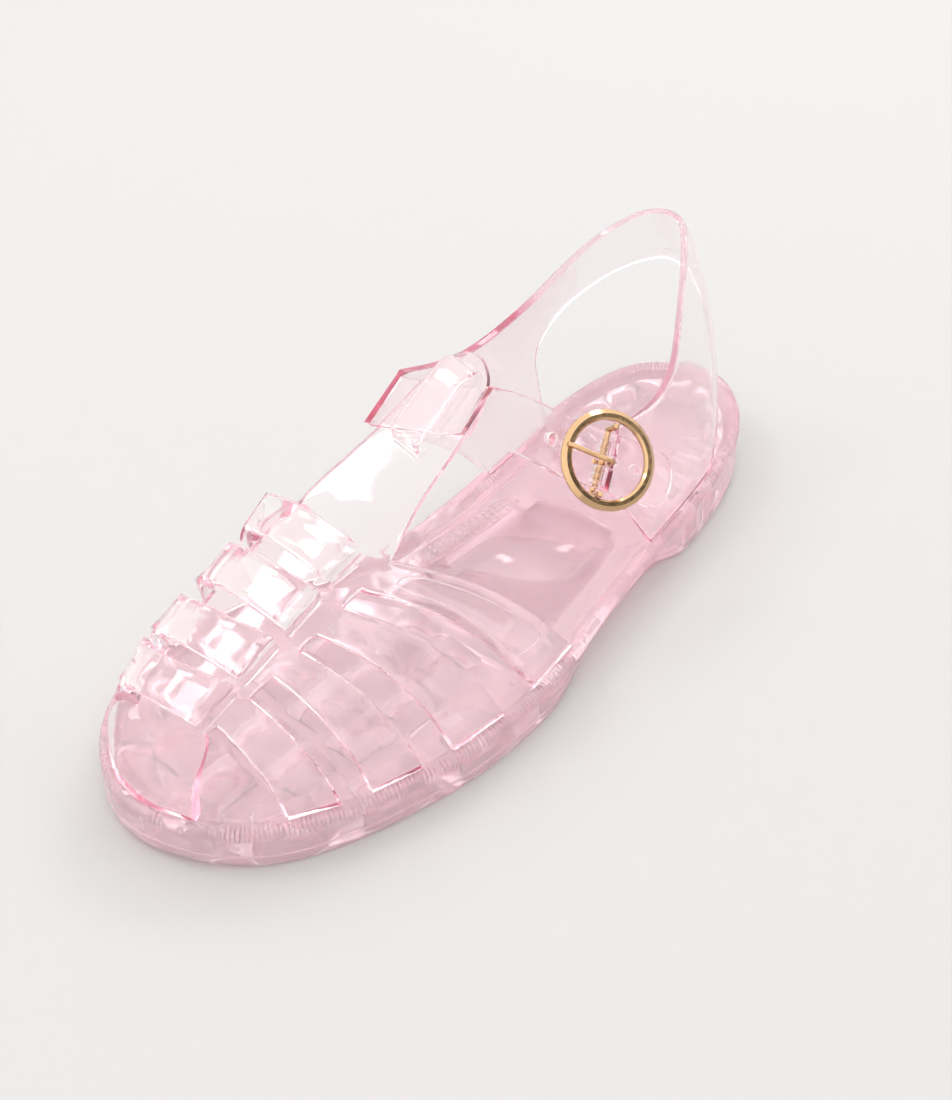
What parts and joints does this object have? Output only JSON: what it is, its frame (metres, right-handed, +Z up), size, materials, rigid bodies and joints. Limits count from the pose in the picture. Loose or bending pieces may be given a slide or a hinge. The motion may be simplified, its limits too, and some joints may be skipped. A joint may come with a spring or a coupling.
{
  "type": "jelly sandal",
  "caption": "Clear pink jelly sandal for the left foot: woven-look vamp, T-strap, sling-back and a round gold buckle.",
  "frame": {"origin": "centre of the sole's box, on the floor", "axes": "-Y towards the toe, +Y towards the heel, +X towards the outer side of the foot, +Z up"},
  "size_m": [0.0952, 0.25, 0.094],
  "materials": {
    "clear_pink_pvc": "clear, glossy, soft",
    "sole_pink_pvc": "clear, glossy, soft, deeper pink from its thickness",
    "gold": "polished plating"
  },
  "bodies": {
    "root": {"sole": "sole_pink_pvc", "vamp": "clear_pink_pvc", "rear_strap": "clear_pink_pvc", "buckle_ring": "gold", "buckle_bar": "gold", "buckle_prong": "gold"}
  },
  "joints": []
}
